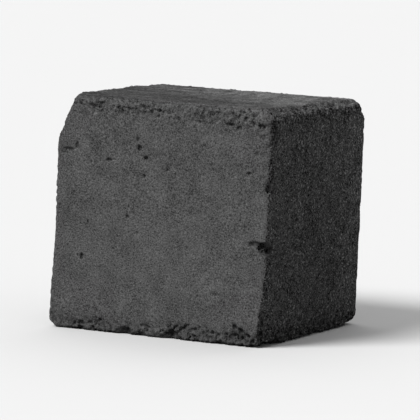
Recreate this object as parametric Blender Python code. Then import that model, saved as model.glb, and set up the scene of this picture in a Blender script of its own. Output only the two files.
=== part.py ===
"""A pressed charcoal cube, 25 mm on a side: one solid block with worn edges, broken corners and chips.

The block stands on Z = 0 with its middle over the origin. Its front looks along -Y and its right along +X.
"""

from math import radians
from random import Random

import bmesh
import bpy
from mathutils import Euler, Vector

# The block
SIDE = 0.025
HALF = SIDE / 2
MIDDLE = Vector((0.0, 0.0, HALF))
GRID = 16  # squares along each side of a face
EDGE_ROUNDING = 0.0003
EDGE_STEPS = 2
SHARP = radians(45)

# The gentle unevenness of the pressed faces
SWELL_DEPTH = 0.00030
SWELL_SIZE = 0.0075
FLAT_FOOT = 0.0004  # the underside and the lowest rounding stay true
FOOT_BLEND = 0.0030

# The wear of every corner: the block is cut down to a ball, set a little off the middle
BALL_RADIUS = 0.0213
BALL_OFFSET = Vector((-0.0006, -0.0006, -0.0005))
BALL_SUBDIVISIONS = 5

# Flat breaks: a name, a point on the break and the way it faces
BREAKS = (
    ("front_left_top", (-HALF + 0.0020, -HALF, SIDE), (-0.90, -0.26, 0.35)),
    ("right_back_bottom", (HALF, HALF - 0.0020, 0.0), (0.74, 0.36, -0.56)),
    ("right_back_top", (HALF, HALF, SIDE - 0.0013), (0.60, 0.42, 0.68)),
    ("left_back_top", (-HALF + 0.0016, HALF, SIDE), (-0.60, 0.55, 0.58)),
    ("left_front_bottom", (-HALF + 0.0010, -HALF, 0.0), (-0.66, -0.30, -0.69)),
    ("back_top_slope", (0.0, HALF - 0.0070, SIDE), (0.0, 0.032, 1.0)),
    ("front_right_edge", (HALF - 0.0007, -HALF, 0.0015), (0.93, -0.35, -0.08)),
)
BREAK_SIZE = 0.04

# Chips: a name, the middle of the bite, its half sizes and how far it is turned about Z, in degrees
CHIPS = (
    ("front_right_bite", (HALF - 0.0001, -HALF, 0.0104), (0.0013, 0.0013, 0.0008), 0),
    ("front_right_nick", (HALF, -HALF, 0.0170), (0.0006, 0.0008, 0.0009), 0),
    ("front_right_scoop", (HALF + 0.0003, -HALF - 0.0002, 0.0022), (0.0012, 0.0018, 0.0015), 0),
    ("front_foot_hole", (0.0099, -HALF - 0.0001, 0.0012), (0.0013, 0.0005, 0.0011), 0),
    ("front_foot_nick", (-0.0037, -HALF, 0.0003), (0.0007, 0.0009, 0.0008), 0),
    ("front_foot_bite", (0.0019, -HALF, 0.0002), (0.0012, 0.0008, 0.0007), 10),
    ("front_left_nick", (-0.0116, -HALF, 0.0190), (0.0009, 0.0003, 0.0004), 0),
    ("front_top_bite", (0.0093, -HALF, SIDE), (0.0010, 0.0008, 0.0007), -15),
    ("left_foot_bite", (-HALF, 0.0040, 0.0004), (0.0010, 0.0021, 0.0011), 8),
    ("left_top_bite", (-HALF, 0.0062, SIDE), (0.0012, 0.0018, 0.0010), -12),
    ("left_back_nick", (-HALF, HALF, 0.0086), (0.0015, 0.0011, 0.0013), 0),
    ("left_foot_corner", (-HALF, HALF, 0.0), (0.0024, 0.0019, 0.0016), 20),
    ("back_foot_hole", (-0.0052, HALF, 0.0006), (0.0018, 0.0011, 0.0012), 5),
    ("back_top_bite", (0.0041, HALF, SIDE - 0.0003), (0.0021, 0.0011, 0.0008), 6),
    ("right_top_bite", (HALF, 0.0048, SIDE), (0.0007, 0.0016, 0.0005), 0),
    ("right_foot_wedge", (HALF + 0.0002, -0.0098, -0.0001), (0.0017, 0.0027, 0.0010), 0),
    ("right_foot_bite", (HALF, 0.0022, 0.0), (0.0007, 0.0015, 0.0006), -6),
)
CHIP_CORNERS = 16
CHIP_REACH = (0.85, 1.15)  # how far out a chip's corners lie, as shares of its half sizes

# The finish
CHARCOAL_COLOUR = (0.035, 0.035, 0.035, 1.0)
CHARCOAL_ROUGHNESS = 0.92


def clear_scene():
    for obj in list(bpy.data.objects):
        bpy.data.objects.remove(obj, do_unlink=True)


def new_collection(name):
    collection = bpy.data.collections.new(name)
    bpy.context.scene.collection.children.link(collection)
    return collection


def object_from(shape, name, collection):
    mesh = bpy.data.meshes.new(name)
    shape.to_mesh(mesh)
    shape.free()
    obj = bpy.data.objects.new(name, mesh)
    collection.objects.link(obj)
    return obj


def charcoal():
    material = bpy.data.materials.new("charcoal")
    material.use_nodes = True
    shader = material.node_tree.nodes["Principled BSDF"]
    shader.inputs["Base Color"].default_value = CHARCOAL_COLOUR
    shader.inputs["Roughness"].default_value = CHARCOAL_ROUGHNESS
    shader.inputs["Metallic"].default_value = 0.0
    return material


def block(collection):
    """The pressed block, its faces in squares and its twelve edges rounded."""
    shape = bmesh.new()
    bmesh.ops.create_cube(shape, size=SIDE)
    bmesh.ops.translate(shape, vec=MIDDLE, verts=shape.verts)
    bmesh.ops.subdivide_edges(shape, edges=shape.edges, cuts=GRID - 1, use_grid_fill=True)
    sharp = [edge for edge in shape.edges if edge.calc_face_angle() > SHARP]
    bmesh.ops.bevel(
        shape, geom=sharp, offset=EDGE_ROUNDING, segments=EDGE_STEPS, profile=0.5, affect="EDGES"
    )
    obj = object_from(shape, "charcoal_cube", collection)
    obj.data.shade_smooth()
    obj.data.materials.append(charcoal())
    return obj


def swell_faces(obj):
    """Soft hollows and swells on every face but the underside."""
    group = obj.vertex_groups.new(name="above_the_foot")
    for vertex in obj.data.vertices:
        height = (vertex.co.z - FLAT_FOOT) / FOOT_BLEND
        group.add([vertex.index], min(max(height, 0.0), 1.0), "REPLACE")
    swells = bpy.data.textures.new("swells", "CLOUDS")
    swells.noise_scale = SWELL_SIZE
    swells.noise_depth = 1
    displace = obj.modifiers.new("swells", "DISPLACE")
    displace.texture = swells
    displace.texture_coords = "GLOBAL"
    displace.strength = SWELL_DEPTH
    displace.mid_level = 0.5
    displace.vertex_group = group.name


def as_cutter(obj):
    obj.hide_render = True
    obj.display_type = "WIRE"
    return obj


def wear_ball(collection):
    """The ball that the corners are worn down to."""
    shape = bmesh.new()
    bmesh.ops.create_icosphere(shape, subdivisions=BALL_SUBDIVISIONS, radius=BALL_RADIUS)
    bmesh.ops.translate(shape, vec=MIDDLE + BALL_OFFSET, verts=shape.verts)
    return as_cutter(object_from(shape, "corner_wear", collection))


def break_cutter(name, point, facing, collection):
    """A box whose near face is the break, and whose body takes what is broken away."""
    facing = Vector(facing).normalized()
    shape = bmesh.new()
    bmesh.ops.create_cube(shape, size=BREAK_SIZE)
    bmesh.ops.translate(shape, vec=(0.0, 0.0, BREAK_SIZE / 2), verts=shape.verts)
    turn = facing.to_track_quat("Z", "Y").to_matrix()
    bmesh.ops.rotate(shape, matrix=turn, verts=shape.verts)
    bmesh.ops.translate(shape, vec=point, verts=shape.verts)
    return as_cutter(object_from(shape, "break_" + name, collection))


def chip_cutter(name, middle, half_sizes, turned, collection):
    """An angular pebble that bites out one chip."""
    chance = Random(name)
    shape = bmesh.new()
    for _ in range(CHIP_CORNERS):
        facing = Vector([chance.gauss(0.0, 1.0) for _ in range(3)]).normalized()
        shape.verts.new(facing * chance.uniform(*CHIP_REACH))
    hull = bmesh.ops.convex_hull(shape, input=shape.verts)
    bmesh.ops.delete(shape, geom=hull["geom_interior"], context="VERTS")
    bmesh.ops.scale(shape, vec=half_sizes, verts=shape.verts)
    turn = Euler((0, 0, radians(turned))).to_matrix()
    bmesh.ops.rotate(shape, matrix=turn, verts=shape.verts)
    bmesh.ops.translate(shape, vec=middle, verts=shape.verts)
    return as_cutter(object_from(shape, "chip_" + name, collection))


def cut(obj, cutter, operation="DIFFERENCE"):
    boolean = obj.modifiers.new(cutter.name, "BOOLEAN")
    boolean.object = cutter
    boolean.operation = operation
    boolean.solver = "EXACT"


def main():
    clear_scene()
    parts = new_collection("charcoal_cube")
    cutters = new_collection("cutters")
    cube = block(parts)
    swell_faces(cube)
    cut(cube, wear_ball(cutters), "INTERSECT")
    for name, point, facing in BREAKS:
        cut(cube, break_cutter(name, point, facing, cutters))
    for name, middle, half_sizes, turned in CHIPS:
        cut(cube, chip_cutter(name, middle, half_sizes, turned, cutters))


main()
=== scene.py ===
"""A pressed charcoal cube on a pale floor, finished down to its crumbled edges, pores and grain.

The cube follows its solid. A distance field is measured from that solid, worn away by fields of
crumbs, pores and press marks, and made into one closed skin. Lengths are in metres.
"""

from math import cos, radians, sin

import bmesh
import bpy
import numpy as np
from mathutils import Matrix, Vector


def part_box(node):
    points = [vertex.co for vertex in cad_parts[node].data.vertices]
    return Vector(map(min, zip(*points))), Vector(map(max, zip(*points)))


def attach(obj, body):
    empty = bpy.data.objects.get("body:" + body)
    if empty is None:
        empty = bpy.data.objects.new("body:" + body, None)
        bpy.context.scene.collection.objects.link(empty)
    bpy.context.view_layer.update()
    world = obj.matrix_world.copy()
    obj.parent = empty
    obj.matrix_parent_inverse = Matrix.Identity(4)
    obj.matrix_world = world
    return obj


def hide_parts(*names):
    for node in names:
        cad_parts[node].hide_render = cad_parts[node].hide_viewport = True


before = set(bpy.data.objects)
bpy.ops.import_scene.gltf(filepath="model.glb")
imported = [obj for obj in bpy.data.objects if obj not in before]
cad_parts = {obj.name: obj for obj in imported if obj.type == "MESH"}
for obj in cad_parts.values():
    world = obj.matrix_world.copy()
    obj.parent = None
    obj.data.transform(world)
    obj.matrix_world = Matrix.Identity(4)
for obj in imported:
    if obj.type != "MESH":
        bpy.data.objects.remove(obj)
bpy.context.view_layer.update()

MM = 0.001
SOLID = "charcoal_cube"

LOW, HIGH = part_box(SOLID)
MIDDLE = (LOW + HIGH) / 2
HALF = (HIGH - LOW) / 2

# The skin
GRAIN_STEP = 0.130 * MM  # the size of the field's cells
MARGIN = 0.5 * MM  # room left round the solid
FLARE = 0.3 * MM  # how far the left foot flares out
SEAM = 0.001 * MM  # corners of the solid's triangles nearer than this are one corner
MOST_TRIANGLES = 190000
INSIDE_LEVEL = 0.5  # the field's value on the skin
HOLLOW_STEPS = 10  # rounds of smoothing that hollows are measured against
SHEET_FILL = 0.94  # how much of its place on the sheet of six each side fills
SHEET_GAP = (1.0 - SHEET_FILL) / 2


class Wire:
    """The value at one socket. Arithmetic on it adds Math nodes to its tree."""

    def __init__(self, bench, socket):
        self.bench = bench
        self.socket = socket

    def math(self, operation, *values):
        inputs = dict(enumerate(values))
        return self.bench.node("ShaderNodeMath", {"operation": operation}, inputs)

    def vector(self, operation, *values, output="Vector"):
        inputs = dict(enumerate(values))
        return self.bench.node("ShaderNodeVectorMath", {"operation": operation}, inputs, output)

    def __add__(self, other):
        return self.math("ADD", self, other)

    def __radd__(self, other):
        return self.math("ADD", other, self)

    def __sub__(self, other):
        return self.math("SUBTRACT", self, other)

    def __rsub__(self, other):
        return self.math("SUBTRACT", other, self)

    def __mul__(self, other):
        return self.math("MULTIPLY", self, other)

    def __rmul__(self, other):
        return self.math("MULTIPLY", other, self)

    def __truediv__(self, other):
        return self.math("DIVIDE", self, other)

    def __neg__(self):
        return self.math("MULTIPLY", self, -1.0)

    def __lt__(self, other):
        return self.math("LESS_THAN", self, other)

    def __gt__(self, other):
        return self.math("GREATER_THAN", self, other)

    def least(self, other):
        return self.math("MINIMUM", self, other)

    def most(self, other):
        return self.math("MAXIMUM", self, other)

    def moved(self, shift):
        return self.vector("ADD", self, shift)

    def stretched(self, factors):
        return self.vector("MULTIPLY", self, factors)

    def parts(self):
        """The X, Y and Z of a vector."""
        spread = self.bench.raw("ShaderNodeSeparateXYZ", {}, {0: self})
        return [Wire(self.bench, output) for output in spread.outputs]


class Bench:
    """Adds nodes to one node tree."""

    def __init__(self, tree):
        self.tree = tree

    def raw(self, kind, settings, inputs):
        node = self.tree.nodes.new(kind)
        for name, value in settings.items():
            setattr(node, name, value)
        for name, value in inputs.items():
            socket = node.inputs[name]
            if isinstance(value, Wire):
                self.tree.links.new(value.socket, socket)
            else:
                socket.default_value = value
        return node

    def node(self, kind, settings=None, inputs=None, output=0):
        """A new node's output: its settings come first, then the values or links of its sockets."""
        made = self.raw(kind, settings or {}, inputs or {})
        return Wire(self, made.outputs[output])

    def smooth(self, value, start, end):
        """0 at start, 1 at end, with a soft step between. The start may be the higher."""
        settings = {"interpolation_type": "SMOOTHSTEP"}
        inputs = {"Value": value, "From Min": start, "From Max": end, "To Min": 0.0, "To Max": 1.0}
        return self.node("ShaderNodeMapRange", settings, inputs)

    def texture(self, kind, settings, place, size, inputs=None):
        """A texture node whose pattern has this size."""
        scaled = place.stretched((1 / size, 1 / size, 1 / size))
        return self.raw(kind, settings, {"Vector": scaled, "Scale": 1.0} | (inputs or {})), scaled

    def noise(self, place, size, detail=2.0, roughness=0.5):
        """Cloudy noise about 0, mostly between -0.5 and 0.5, with swells about this size."""
        inputs = {"Detail": detail, "Roughness": roughness}
        node, _ = self.texture("ShaderNodeTexNoise", {}, place, size, inputs)
        return (Wire(self, node.outputs[0]) - 0.5) * 2.0

    def cells(self, place, size):
        """Grains about this size: the distance to each one's middle, and its own random number."""
        node, _ = self.texture("ShaderNodeTexVoronoi", {"feature": "F1"}, place, size)
        reach = Wire(self, node.outputs["Distance"]) * size
        chance = Wire(self, node.outputs["Color"]).parts()[0]
        return reach, chance

    def joints(self, place, size):
        """How far inside its grain a place lies."""
        settings = {"feature": "DISTANCE_TO_EDGE"}
        node, _ = self.texture("ShaderNodeTexVoronoi", settings, place, size)
        return Wire(self, node.outputs[0]) * size


# ---------------------------------------------------------------- wear

# Bites and pores that stand out, in millimetres: the middle, as how far right, back and up it lies, and
# the half sizes the same way. The front face lies at -12.5 back, and the right one at 12.5 right.
BITES = (
    # pores of the front
    (-2.7, -12.5, 19.9, 0.30, 0.30, 0.36),
    (-1.9, -12.5, 18.9, 0.28, 0.30, 0.26),
    (-2.9, -12.5, 20.8, 0.24, 0.24, 0.28),
    (-6.2, -12.5, 18.4, 0.42, 0.20, 0.22),
    (-2.0, -12.5, 17.0, 0.22, 0.20, 0.24),
    # the hooked nick by the front's left edge
    (-11.0, -12.5, 19.2, 0.80, 0.24, 0.18),
    (-10.1, -12.5, 19.7, 0.18, 0.22, 0.46),
    (0.7, -12.5, 17.9, 0.26, 0.16, 0.22),
    (-3.8, -12.5, 12.5, 0.20, 0.24, 0.24),
    (-2.6, -12.5, 10.9, 0.28, 0.16, 0.20),
    (-9.0, -12.5, 7.9, 0.18, 0.28, 0.44),
    # the worn band under the front's top edge
    (4.3, -12.5, 23.2, 0.55, 0.20, 0.14),
    (7.9, -12.5, 23.2, 0.42, 0.36, 0.20),
    (8.8, -12.5, 22.9, 0.30, 0.30, 0.26),
    (9.5, -12.5, 23.9, 0.20, 0.36, 0.36),
    (11.2, -12.5, 23.3, 0.22, 0.24, 0.24),
    (-0.6, -12.5, 23.4, 0.24, 0.20, 0.20),
    (-4.9, -12.5, 23.6, 0.28, 0.22, 0.26),
    (-8.5, -12.5, 24.0, 0.60, 0.40, 0.34),
    (-7.4, -12.5, 24.3, 0.50, 0.40, 0.26),
    # the front's right edge, from the top down
    (10.9, -12.5, 20.3, 0.22, 0.16, 0.28),
    (10.1, -12.5, 18.2, 0.24, 0.14, 0.20),
    (12.5, -12.1, 23.5, 0.24, 0.70, 0.44),
    (12.5, -11.3, 22.7, 0.16, 0.50, 0.30),
    (12.5, -12.4, 17.0, 0.34, 0.44, 0.40),
    (12.5, -11.6, 16.4, 0.20, 0.40, 0.24),
    (11.1, -12.5, 10.9, 0.80, 0.22, 0.28),
    (11.6, -12.5, 10.7, 0.50, 0.28, 0.36),
    (12.5, -12.1, 10.3, 0.60, 1.30, 0.56),
    (12.1, -12.4, 3.4, 0.30, 0.44, 0.44),
    # the broken patch at the front's foot
    (9.2, -12.5, 1.9, 0.30, 0.36, 0.44),
    (9.9, -12.5, 1.6, 0.30, 0.44, 0.36),
    (9.2, -12.5, 1.1, 0.36, 0.46, 0.36),
    (10.7, -12.5, 1.1, 0.36, 0.44, 0.40),
    (9.9, -12.5, 0.8, 0.34, 0.50, 0.26),
    (11.3, -12.5, 0.6, 0.26, 0.40, 0.30),
    # the shallow break under the right, back and foot corner
    (12.5, 12.6, 0.0, 1.80, 2.90, 0.55),
)

# Spots of painted shade in the breaks, the crumbled edges and along the foot: the middle and the half
# sizes, in millimetres, and how much darker
SHADE_SPOTS = (
    (12.4, -12.2, 10.3, 0.90, 1.50, 0.75, 0.50),
    (11.2, -12.5, 10.9, 0.90, 0.50, 0.50, 0.22),
    (12.5, -11.4, 22.6, 0.80, 1.50, 1.80, 0.42),
    (10.0, -12.5, 1.4, 1.40, 0.80, 1.10, 0.24),
    (5.3, -12.5, 0.7, 1.00, 0.80, 0.80, 0.20),
    (2.0, -12.5, 0.9, 0.90, 0.80, 1.00, 0.25),
    (-3.6, -12.5, 0.5, 0.80, 0.80, 0.60, 0.32),
    (-10.6, -12.5, 1.2, 0.80, 0.80, 0.50, 0.24),
)

# Where each kind of wear begins and where it is full
CRUMBLED_BAND = (2.6 * MM, 1.0 * MM)  # crumbs, by the distance from the foot or the top
UPPER_WALL = (20.5 * MM, 23.5 * MM)  # the wide band under the top, by the height
DEEP_FOOT = (5.0 * MM, 2.0 * MM)  # deeper pockets of lost grains, by the height
RIGHT_END = (10.2 * MM, 11.6 * MM)  # rounder edges of the top, by how far right
CALM_EDGES = (21.0 * MM, 23.5 * MM)  # the two firmer upright edges, by how far right plus back
FIRM_EDGES = (0.6 * MM, 0.1 * MM)  # the firm line of every edge, by the distance from it
OWN_WALL = (0.1 * MM, 0.6 * MM)  # the walls, by how much nearer they are than the foot or the top
RIM_BAND = (1.6 * MM, 0.4 * MM)  # rounding of the top's edges, by the distance from the top
BROKEN_AWAY = (0.40 * MM, 0.75 * MM)  # breaks of the solid, by the depth under its faces
CUT_SKIN = (HALF.x - 0.8 * MM, HALF.x - 0.3 * MM)  # the cut sides' grain, by how far right or left
FLARE_UP = (9.5 * MM, 3.0 * MM)  # the flare of the left foot, by the height
FLARE_ACROSS = (-4.0 * MM, -12.0 * MM)  # and by how far right

# How far in from an edge the crumbs reach: by itself, near the foot and the top, and in patches
EDGE_CRUMBS = 0.5 * MM
BAND_CRUMBS = 1.5 * MM
PATCH_CRUMBS = 2.0 * MM
LEAST_CRUMBS = 0.25 * MM
WALL_SHARE = 1.7  # the band under the top, as a share of the one near the foot and the top
PATCH_SIZE = 4.5 * MM

# How wide and deep the top's edges are rounded, and how much more at the right end
RIM_WIDTH = 0.9 * MM
RIM_WIDER = 1.1 * MM
RIM_DEPTH = 0.36 * MM
RIM_DEEPER = 0.50 * MM

# How big the grains are and how deep they break or leave a pocket
COARSE_GRAINS = (1.0 * MM, 0.22 * MM)
FINE_GRAINS = (0.45 * MM, 0.18 * MM)
GRAIN_TILT = 1.6  # how steeply the broken planes tilt
GRAIN_LIFT = 0.06 * MM  # how far broken grains stand out again
POCKET_SIZE = 0.55 * MM
POCKET_DEPTH = 0.14 * MM
POCKET_DEEPER = 0.12 * MM  # by the foot
POCKET_SHARE = 0.42  # the share of grains lost where all is loose

# The small relief on a pressed face, and how much deeper it is on a cut one and in the crumbs
PRESSED_RELIEF = 0.03 * MM
CUT_RELIEF = 0.10 * MM
CRUMB_RELIEF = 0.14 * MM
MOST_PROUD = 0.03 * MM  # no crumb stands out further than this

# Faint marks: how wide they are and how deep
SCORES = (0.75 * MM, 0.04 * MM)
DENTS = (3.2 * MM, 0.05 * MM)

PORE_SHARE = 0.28  # the share of places that hold a small pore
PORE_SPACING = 2.3 * MM
PORE_RADIUS = 0.42 * MM  # of the widest
PORE_DEPTH = 0.13 * MM

# What is pushed about to turn it ragged: the size of the pushes and how far they reach
RAGGED_GRAINS = (0.9 * MM, 0.28 * MM)
RAGGED_BITES = (0.7 * MM, 0.16 * MM)
# for the spots of painted shade
RAGGED_SHADE_SPOTS = (0.8 * MM, 0.45 * MM)


def stray(bench, place, size, reach):
    """The place pushed about at random, so that what is drawn there turns ragged."""
    inputs = {"Detail": 2.0, "Roughness": 0.6}
    node, _ = bench.texture("ShaderNodeTexNoise", {}, place, size, inputs)
    centred = Wire(bench, node.outputs["Color"]).moved((-0.5, -0.5, -0.5))
    return place.moved(centred.stretched((2 * reach, 2 * reach, 2 * reach)))


def edge_distances(place):
    """How far in a place lies from the nearest face, from the nearest edge and from the foot or top."""
    from_middle = place.vector("ABSOLUTE", place.moved(-MIDDLE))
    x, y, z = place.vector("SUBTRACT", HALF, from_middle).parts()
    nearest = x.least(y).least(z)
    farthest = x.most(y).most(z)
    return nearest, x + y + z - nearest - farthest, z


def press_marks(bench, place):
    """Faint upright scores that the mould leaves."""
    width, depth = SCORES
    return bench.noise(place.stretched((1.0, 1.0, 0.035)), width) * depth


def lost_grains(bench, place, size, chance, depth):
    """Pockets where whole grains have fallen out, in a share of them that follows chance."""
    own = bench.cells(place, size)[1]
    inside = bench.smooth(bench.joints(place, size), 0.0, size * 0.2)
    return (own < chance) * inside * depth


def broken_grains(bench, place, size, depth):
    """Every grain broken along its own small plane, tilted and set in at random."""
    grain, scaled = bench.texture("ShaderNodeTexVoronoi", {"feature": "F1"}, place, size)
    own = Wire(bench, grain.outputs["Color"])
    tilt = own.moved((-0.5, -0.5, -0.5))
    apart = scaled.vector("SUBTRACT", scaled, Wire(bench, grain.outputs["Position"]))
    slope = apart.vector("DOT_PRODUCT", apart, tilt, output="Value")
    return (slope * GRAIN_TILT + own.parts()[0]) * depth


def face_pores(bench, place):
    """Small pores, few to a face, each with its own width."""
    reach, own = bench.cells(place, PORE_SPACING)
    radius = bench.smooth(own, 1.0 - PORE_SHARE, 1.0) * PORE_RADIUS
    return bench.smooth(reach, radius, radius * 0.4) * (own > 1.0 - PORE_SHARE) * PORE_DEPTH


def reach_from(place, middle, half_sizes):
    """How far out a place lies in a bite or a spot: 0 at its middle, 1 on its shell."""
    shares = [1 / (half * MM) for half in half_sizes]
    apart = place.moved(-Vector(middle) * MM).stretched(shares)
    return apart.vector("LENGTH", apart, output="Value")


def bites(place):
    """How deep a place lies inside the bites, less than 0 outside them."""
    depth = -MM
    for bite in BITES:
        middle, half_sizes = bite[:3], bite[3:]
        reach = reach_from(place, middle, half_sizes)
        depth = ((1.0 - reach) * (min(half_sizes) * MM)).most(depth)
    return depth


def cut_faces(bench, place):
    """1 on the left and right faces, which are cut and so coarser than the pressed ones."""
    across, _, _ = place.vector("ABSOLUTE", place).parts()
    return bench.smooth(across, *CUT_SKIN)


def calm_edges(bench, place):
    """1 along the upright edges at the back right and the front left, which are less crumbled."""
    across, back, _ = place.parts()
    slant = across + back
    return bench.smooth(slant.most(-slant), *CALM_EDGES)


def rim_rounding(bench, place, along, upright, calm):
    """The wear that rounds the top's edges, most of all the right one."""
    across, _, height = place.parts()
    right = bench.smooth(across, *RIGHT_END) * (1.0 - calm)
    rim = bench.smooth(along, RIM_WIDTH + right * RIM_WIDER, 0.0)
    rim = rim * rim * bench.smooth(upright, *RIM_BAND) * (height > MIDDLE.z)
    return rim * (RIM_DEPTH + right * RIM_DEEPER) * (1.0 - calm * 0.3)


def looseness(bench, place, nearest, along, upright):
    """1 where the charcoal crumbles: in patches along the edges, and wherever it is broken."""
    patches = bench.noise(place, PATCH_SIZE, detail=1.0)
    band = bench.smooth(upright, *CRUMBLED_BAND)
    wall = bench.smooth(upright - nearest, *OWN_WALL)
    wall = wall * bench.smooth(place.parts()[2], *UPPER_WALL)
    reach = EDGE_CRUMBS + (band + wall * WALL_SHARE) * BAND_CRUMBS + patches * PATCH_CRUMBS
    near = bench.smooth(along, reach.most(LEAST_CRUMBS), 0.0)
    return near.most(bench.smooth(nearest, *BROKEN_AWAY))


def wear(bench, place):
    """How deep the surface is worn away at a place."""
    nearest, along, upright = edge_distances(place)
    ragged = stray(bench, place, *RAGGED_GRAINS)
    calm = calm_edges(bench, place)
    loose = looseness(bench, place, nearest, along, upright)
    firm = bench.smooth(along, *FIRM_EDGES)
    crumbs = loose * (1.0 - firm * 0.45) * (1.0 - calm * 0.65)
    coarse = broken_grains(bench, ragged, *COARSE_GRAINS)
    fine = broken_grains(bench, ragged.moved((0.01, 0.02, 0.03)), *FINE_GRAINS)
    depth = POCKET_DEPTH + bench.smooth(place.parts()[2], *DEEP_FOOT) * POCKET_DEEPER
    depth = depth * (1.0 - firm * 0.5) * (1.0 - calm * 0.6)
    lost = lost_grains(bench, ragged, POCKET_SIZE, loose * POCKET_SHARE, depth)
    clouds = bench.noise(place, 0.55 * MM, roughness=0.6)
    coarseness = PRESSED_RELIEF + cut_faces(bench, place) * CUT_RELIEF + loose * CRUMB_RELIEF
    relief = clouds * coarseness + (coarse + fine - GRAIN_LIFT) * crumbs
    rounding = rim_rounding(bench, place, along, upright, calm)
    dent_size, dent_depth = DENTS
    dents = bench.noise(place, dent_size, detail=1.0) * dent_depth
    marks = dents + press_marks(bench, place) + face_pores(bench, ragged)
    return (relief + rounding + lost + marks).most(-MOST_PROUD)


# ---------------------------------------------------------------- skin


def height_over_solid(bench, place, solid):
    """The distance from the solid's surface, less than 0 inside it."""
    body = bench.node("GeometryNodeObjectInfo", {}, {"Object": solid}, "Geometry")
    body = bench.node("GeometryNodeMergeByDistance", {}, {"Geometry": body, "Distance": SEAM})
    inputs = {"Geometry": body, "Sample Position": place}
    closest = bench.raw("GeometryNodeProximity", {"target_element": "FACES"}, inputs)
    vectors = {"data_type": "FLOAT_VECTOR"}
    inputs = {"Value": bench.node("GeometryNodeInputNormal")}
    normal = bench.node("GeometryNodeFieldOnDomain", vectors | {"domain": "POINT"}, inputs)
    inputs = {"Mesh": body, "Value": normal, "Sample Position": place}
    facing = bench.node("GeometryNodeSampleNearestSurface", vectors, inputs)
    away = place.vector("SUBTRACT", place, Wire(bench, closest.outputs["Position"]))
    outside = away.vector("DOT_PRODUCT", away, facing, output="Value") > 0.0
    return Wire(bench, closest.outputs["Distance"]) * (outside * 2.0 - 1.0)


def new_geometry_tree(name):
    tree = bpy.data.node_groups.new(name, "GeometryNodeTree")
    tree.interface.new_socket("Geometry", in_out="OUTPUT", socket_type="NodeSocketGeometry")
    tree.interface.new_socket("Geometry", in_out="INPUT", socket_type="NodeSocketGeometry")
    return tree


def unflared(bench, place):
    """Where a place would lie if the left foot did not flare out."""
    across, _, height = place.parts()
    low = bench.smooth(height, *FLARE_UP)
    left = bench.smooth(across, *FLARE_ACROSS)
    return place.moved(bench.node("ShaderNodeCombineXYZ", {}, {0: low * left * FLARE}))


def skin_tree(solid):
    """Grows the worn skin inside a box of cells round the solid."""
    tree = new_geometry_tree("worn_skin")
    bench = Bench(tree)
    place = unflared(bench, bench.node("GeometryNodeInputPosition"))
    torn = stray(bench, place, *RAGGED_BITES)
    height = (height_over_solid(bench, place, solid) + wear(bench, place)).most(bites(torn))
    height = height.most(LOW.z - place.parts()[2])
    low = LOW - Vector((MARGIN, MARGIN, MARGIN))
    high = HIGH + Vector((MARGIN, MARGIN, MARGIN))
    inputs = {"Density": INSIDE_LEVEL - height / MM, "Background": 0.0, "Min": low, "Max": high}
    for axis, length in zip("XYZ", high - low):
        inputs["Resolution " + axis] = round(length / GRAIN_STEP)
    cloud = bench.node("GeometryNodeVolumeCube", {}, inputs)
    settings = {"resolution_mode": "GRID"}
    skin = bench.node(
        "GeometryNodeVolumeToMesh", settings, {"Volume": cloud, "Threshold": INSIDE_LEVEL}
    )
    bench.raw("NodeGroupOutput", {}, {0: skin})
    return tree


def hollow_record_tree():
    """Stores on each point how far it lies in a hollow, less than 0 on a bump, for the material's
    painted shade in the hollows.
    """
    tree = new_geometry_tree("hollow_record")
    bench = Bench(tree)
    given = bench.node("NodeGroupInput")
    place = bench.node("GeometryNodeInputPosition")
    inputs = {"Value": place, "Iterations": HOLLOW_STEPS}
    smoothed = bench.node("GeometryNodeBlurAttribute", {"data_type": "FLOAT_VECTOR"}, inputs)
    away = place.vector("SUBTRACT", smoothed, place)
    facing = bench.node("GeometryNodeInputNormal")
    depth = away.vector("DOT_PRODUCT", away, facing, output="Value") / MM
    inputs = {"Geometry": given, "Name": "hollow", "Value": depth}
    stored = bench.node("GeometryNodeStoreNamedAttribute", {"data_type": "FLOAT"}, inputs)
    bench.raw("NodeGroupOutput", {}, {0: stored})
    return tree


def evaluated_mesh(obj):
    graph = bpy.context.evaluated_depsgraph_get()
    return bpy.data.meshes.new_from_object(obj.evaluated_get(graph))


def new_object(name, mesh):
    obj = bpy.data.objects.new(name, mesh)
    bpy.context.scene.collection.objects.link(obj)
    return obj


def grown(obj, tree):
    """The object's mesh after a geometry tree, applied."""
    modifier = obj.modifiers.new(tree.name, "NODES")
    modifier.node_group = tree
    mesh = evaluated_mesh(obj)
    obj.modifiers.remove(modifier)
    return mesh


def read(items, name, width, kind):
    """One property of many items as an array, with a row of this width for each."""
    values = np.empty(len(items) * width, kind)
    items.foreach_get(name, values)
    return values.reshape(-1, width)


def largest_island(mesh):
    """Drops the loose crumbs and sealed bubbles, keeping the largest connected skin."""
    edges = read(mesh.edges, "vertices", 2, np.int32)
    label = np.arange(len(mesh.vertices))
    while True:
        lowest = label.copy()
        np.minimum.at(lowest, edges[:, 0], label[edges[:, 1]])
        np.minimum.at(lowest, edges[:, 1], label[edges[:, 0]])
        lowest = lowest[lowest]
        if (lowest == label).all():
            break
        label = lowest
    keep = label == np.bincount(label).argmax()
    shape = bmesh.new()
    shape.from_mesh(mesh)
    loose = [vertex for vertex, kept in zip(shape.verts, keep) if not kept]
    bmesh.ops.delete(shape, geom=loose, context="VERTS")
    shape.to_mesh(mesh)
    shape.free()


def thinned(obj):
    """Merges the flattest faces until the skin holds no more than MOST_TRIANGLES triangles."""
    triangles = sum(len(face.vertices) - 2 for face in obj.data.polygons)
    if triangles <= MOST_TRIANGLES:
        return obj.data
    decimate = obj.modifiers.new("thin", "DECIMATE")
    decimate.ratio = MOST_TRIANGLES / triangles
    mesh = evaluated_mesh(obj)
    obj.modifiers.remove(decimate)
    return mesh


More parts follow.
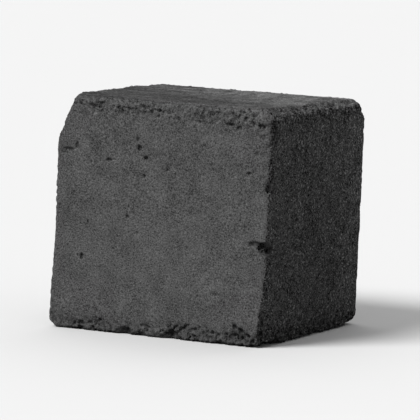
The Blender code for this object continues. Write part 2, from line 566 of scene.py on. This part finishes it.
def box_unwrap(mesh):
    """Lays the six sides out flat on one sheet, three across and two up."""
    points = read(mesh.vertices, "co", 3, np.float32)
    corners = read(mesh.loops, "vertex_index", 1, np.int32)[:, 0]
    counts = read(mesh.polygons, "loop_total", 1, np.int32)[:, 0]
    facing = np.repeat(read(mesh.polygons, "normal", 3, np.float32), counts, axis=0)
    share = ((points - np.array(LOW)) / np.array(HIGH - LOW))[corners]
    axis = np.abs(facing).argmax(axis=1)
    row = np.arange(len(corners))
    forward = facing[row, axis] > 0
    across = share[row, (axis + 1) % 3] * SHEET_FILL + SHEET_GAP + axis
    up = share[row, (axis + 2) % 3] * SHEET_FILL + SHEET_GAP + forward
    sheet = mesh.uv_layers.new(name="OFBake")
    sheet.data.foreach_set("uv", np.column_stack((across / 3, up / 2)).astype(np.float32).ravel())


def worn_cube():
    """The visible cube."""
    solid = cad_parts[SOLID]
    cube = new_object("worn_charcoal_cube", bpy.data.meshes.new("empty"))
    cube.data = grown(cube, skin_tree(solid))
    largest_island(cube.data)
    cube.data = thinned(cube)
    cube.data = grown(cube, hollow_record_tree())
    box_unwrap(cube.data)
    cube.data.name = cube.name
    cube.data.shade_smooth()
    return cube


# ---------------------------------------------------------------- finish

CHARCOAL = 0.033  # how much light the face of the charcoal gives back

# Where each shade begins and where it is full
CUT_FACING = (0.55, 0.85)  # the cut faces, coarser and with painted shade, by how far they face right or left
TOP_FACING = (0.75, 0.95)  # the top's painted light, by how far it faces up
HOLLOW_DEPTH = (0.015, 0.11)  # painted shade in the hollows, by their depth in millimetres
SHADE_SPOT_REACH = (1.15, 0.5)  # spots of painted shade, by how far out in them
STREAKED_WALL = (9.0 * MM, 20.0 * MM)  # streaks of the cut faces, by the height
PALER_WALL = (7.0 * MM, 17.0 * MM)  # the paler upper part of the cut faces' painted shade, by the height
PALER_BACK = (3.0 * MM, 12.0 * MM)  # and its paler back part, by how far back
PALER_TOP = (-8.0 * MM, 8.0 * MM)  # the top's painted light, paler at the far corner, by how far back and right
DARK_CRUMBS = (2.8 * MM, 1.2 * MM)  # the crumbled bands, which take in the whole top face, by the distance from the foot or the top
FOOT_SHADE_BAND = (2.2 * MM, 0.4 * MM)  # the band of painted shade at the foot, by the distance from it
LOW_WALL = (7.5 * MM, 5.0 * MM)  # the part of the wall that is the foot's, by the height
BROKEN_PATCH = (0.35 * MM, 0.70 * MM)  # painted shade in the broken patches of the foot, by the depth under the faces

# How much darker each is
# painted shade along the foot
FOOT_BAND_PAINTED_SHADE = 0.12
# painted shade in the foot's broken patches
BROKEN_PATCH_PAINTED_SHADE = 0.25
# darker within the bands by the foot and the top, and so over the whole top face
DARKER_EDGE_BANDS = 0.12
# painted shade in the hollows
HOLLOW_PAINTED_SHADE = 0.45

# How strong each part of the grain's shade is on a pressed face, and how much stronger on a cut one
MOTTLE = (0.55, 0.2)
GRAIN = (1.3, 1.5)
CLUMPS = (0.12, 0.8)
FLECKS = (0.35, 1.5)
GAPS = (0.6, 0.4)
CLUMPED_CRUMBS = 0.9  # how much stronger the clumps are in the crumbled bands


def upright_streaks(bench, place):
    """Streaks that run down the upper part of the cut faces."""
    lines = bench.noise(place.stretched((1.0, 1.0, 0.12)), 0.55 * MM, detail=3.0, roughness=0.6)
    return lines * bench.smooth(place.parts()[2], *STREAKED_WALL)


def side_streaks_and_painted_shade(bench, place):
    """The cut faces are streaky, and carry painted shade: darker, but paler towards the back and
    upwards, in patches by the top edge.
    """
    patches = bench.noise(place.stretched((1.0, 1.0, 0.5)), 1.3 * MM)
    _, back, up = place.parts()
    high = bench.smooth(up, *PALER_WALL)
    high = high + bench.smooth(up + patches * (3.0 * MM), *UPPER_WALL)
    far = bench.smooth(back, *PALER_BACK)
    return 0.79 + high * 0.07 + far * 0.16 + upright_streaks(bench, place) * 0.6


def top_scores_and_painted_light(bench, place):
    """Painted light on the top: darker near the front, paler and more mottled towards the back and
    right, with scores running across.
    """
    across, back, _ = place.parts()
    scores = bench.noise(place.stretched((0.1, 1.0, 1.0)), 0.9 * MM)
    patches = bench.noise(place.stretched((1.0, 0.35, 1.0)), 1.1 * MM)
    far = bench.smooth(across * 0.6 + back, *PALER_TOP)
    return 0.82 + far * 0.64 + scores * 0.9 * (1.0 - far * 0.5) + patches * 1.5 * far


def painted_shade_spots(bench, place):
    """How much darker the spots of painted shade make a place."""
    ragged = stray(bench, place, *RAGGED_SHADE_SPOTS)
    dark = 0.0
    for spot in SHADE_SPOTS:
        middle, half_sizes, blackness = spot[:3], spot[3:6], spot[6]
        reach = reach_from(ragged, middle, half_sizes)
        dark = (bench.smooth(reach, *SHADE_SPOT_REACH) * blackness).most(dark)
    return dark


def foot_painted_shade(bench, place):
    """Painted shade at the foot: its band and its broken patches are darker."""
    nearest, _, up = edge_distances(place)
    patches = bench.noise(place, 1.6 * MM)
    low = bench.smooth(place.parts()[2], *LOW_WALL)
    band = bench.smooth(up + patches * (2.5 * MM), *FOOT_SHADE_BAND) * low
    broken = bench.smooth(nearest, *BROKEN_PATCH) * low
    return (1.0 - band * FOOT_BAND_PAINTED_SHADE) * (1.0 - broken * BROKEN_PATCH_PAINTED_SHADE)


def strength(pair, side):
    """How strong a part of the shade is, from its strength on a pressed face and what a cut one adds."""
    pressed, added = pair
    return pressed + side * added


def grain_shade(bench, place, side, crumbled, hollow):
    """The grain's shade, stronger on the cut faces, darkened by painted shade in the hollows, and its
    fine relief in millimetres.
    """
    mottle = bench.noise(place, 1.9 * MM, detail=4.0, roughness=0.65)
    grain = bench.noise(place, 0.13 * MM, detail=1.0)
    dust = bench.noise(place.moved((0.03, 0.01, 0.02)), 0.21 * MM, detail=1.0)
    clumps = bench.noise(place.moved((0.01, 0.04, 0.05)), 0.36 * MM)
    fleck = bench.smooth(dust, 0.12, 0.50)
    gap = bench.smooth(dust, -0.12, -0.50)
    clumping = strength(CLUMPS, side) + crumbled * CLUMPED_CRUMBS
    shade = 1.0 + mottle * strength(MOTTLE, side) + grain * strength(GRAIN, side) + clumps * clumping
    shade = shade * (1.0 + fleck * strength(FLECKS, side)) * (1.0 - gap * strength(GAPS, side))
    relief = grain * 0.02 + dust * 0.03 + clumps * crumbled * 0.05
    return shade * (1.0 - hollow * HOLLOW_PAINTED_SHADE), relief


def charcoal_finish():
    """Dull pressed charcoal. Its faces differ by which way they look, as painted light and shade, and
    its hollows are darker with painted shade.
    """
    material = bpy.data.materials.new("pressed_charcoal")
    material.use_nodes = True
    tree = material.node_tree
    tree.nodes.clear()
    bench = Bench(tree)
    given = bench.raw("ShaderNodeTexCoord", {}, {})
    place = Wire(bench, given.outputs["Object"])
    right, _, up = Wire(bench, given.outputs["Normal"]).parts()
    side = bench.smooth(right, *CUT_FACING) + bench.smooth(-right, *CUT_FACING) * 0.5
    top = bench.smooth(up, *TOP_FACING) * (place.parts()[2] > MIDDLE.z)
    depth = bench.node("ShaderNodeAttribute", {"attribute_name": "hollow"}, {}, "Fac")
    hollow = bench.smooth(depth, *HOLLOW_DEPTH)
    _, _, upright = edge_distances(place)
    crumbled = bench.smooth(upright + bench.noise(place, 1.5 * MM) * (2.0 * MM), *DARK_CRUMBS)
    shade, relief = grain_shade(bench, place, side, crumbled, hollow)
    # painted shade at the foot
    shade = shade * foot_painted_shade(bench, place)
    # painted shade in spots, and darker bands by the foot and the top
    shade = shade * (1.0 - painted_shade_spots(bench, place)) * (1.0 - crumbled * DARKER_EDGE_BANDS)
    # painted shade on the cut faces, with their streaks
    shade = shade * (1.0 + side * (side_streaks_and_painted_shade(bench, place) - 1.0))
    # painted light and shade on the top, then the charcoal's own brightness
    shade = shade * (1.0 + top * (top_scores_and_painted_light(bench, place) - 1.0)) * CHARCOAL
    colour = bench.node("ShaderNodeCombineColor", {}, {0: shade, 1: shade, 2: shade})
    bump = bench.node("ShaderNodeBump", {}, {"Height": relief, "Strength": 1.0, "Distance": MM})
    inputs = {
        "Base Color": colour,
        "Roughness": 0.85 + hollow * 0.1,
        "Specular IOR Level": 0.0,
        "Normal": bump,
    }
    shader = bench.node("ShaderNodeBsdfPrincipled", {}, inputs)
    bench.raw("ShaderNodeOutputMaterial", {}, {"Surface": shader})
    return material


# ---------------------------------------------------------------- studio

AZIMUTH = radians(24.95)
ELEVATION = radians(6.3)
ROLL = radians(2.35)
CAMERA_DISTANCE = 0.420
LENS = 332.5
SENSOR = 36.0
FLOOR_RADIUS = 2.4
FLOOR_GAP = 0.02 * MM
PALE = 0.265  # how much light the floor gives back
SURROUND = 0.92  # how strong the light from all round is
LAMPS = (
    # its name, where it shines from, how strong it is and how wide it looks, in degrees
    ("key", (-0.34, -0.62, 0.71), 8.8, 24),
    ("back", (-0.20, 0.60, 0.77), 2.2, 60),
)


def camera():
    data = bpy.data.cameras.new("camera")
    data.lens = LENS
    data.sensor_width = SENSOR
    data.clip_start = 0.01
    obj = bpy.data.objects.new("camera", data)
    bpy.context.scene.collection.objects.link(obj)
    away = Vector((sin(AZIMUTH) * cos(ELEVATION), -cos(AZIMUTH) * cos(ELEVATION), sin(ELEVATION)))
    aim = away.to_track_quat("Z", "Y").to_matrix().to_4x4()
    turn = aim @ Matrix.Rotation(ROLL, 4, "Z")
    obj.matrix_world = Matrix.Translation(MIDDLE + away * CAMERA_DISTANCE) @ turn
    bpy.context.scene.camera = obj


def floor():
    shape = bmesh.new()
    bmesh.ops.create_circle(shape, cap_ends=True, radius=FLOOR_RADIUS, segments=96)
    bmesh.ops.translate(shape, vec=(0, 0, LOW.z - FLOOR_GAP), verts=shape.verts)
    mesh = bpy.data.meshes.new("floor")
    shape.to_mesh(mesh)
    shape.free()
    obj = new_object("floor", mesh)
    material = bpy.data.materials.new("pale_floor")
    material.use_nodes = True
    shader = material.node_tree.nodes["Principled BSDF"]
    shader.inputs["Base Color"].default_value = (PALE, PALE, PALE, 1.0)
    shader.inputs["Roughness"].default_value = 1.0
    shader.inputs["Specular IOR Level"].default_value = 0.0
    obj.data.materials.append(material)


def lamp(name, towards, strength, spread):
    """A soft distant lamp that shines from this direction."""
    data = bpy.data.lights.new(name, "SUN")
    data.energy = strength
    data.angle = radians(spread)
    obj = bpy.data.objects.new(name, data)
    bpy.context.scene.collection.objects.link(obj)
    obj.rotation_euler = Vector(towards).to_track_quat("Z", "Y").to_euler()


def surround(strength):
    world = bpy.data.worlds.new("surround")
    world.use_nodes = True
    background = world.node_tree.nodes["Background"]
    background.inputs["Color"].default_value = (1.0, 1.0, 1.0, 1.0)
    background.inputs["Strength"].default_value = strength
    bpy.context.scene.world = world


def studio():
    camera()
    floor()
    surround(SURROUND)
    for name, towards, strength, spread in LAMPS:
        lamp(name, towards, strength, spread)
    bpy.context.scene.view_settings.view_transform = "Standard"


# ---------------------------------------------------------------- assembly

studio()
cube = worn_cube()
cube.data.materials.clear()
cube.data.materials.append(charcoal_finish())
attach(cube, "root")
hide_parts(SOLID)
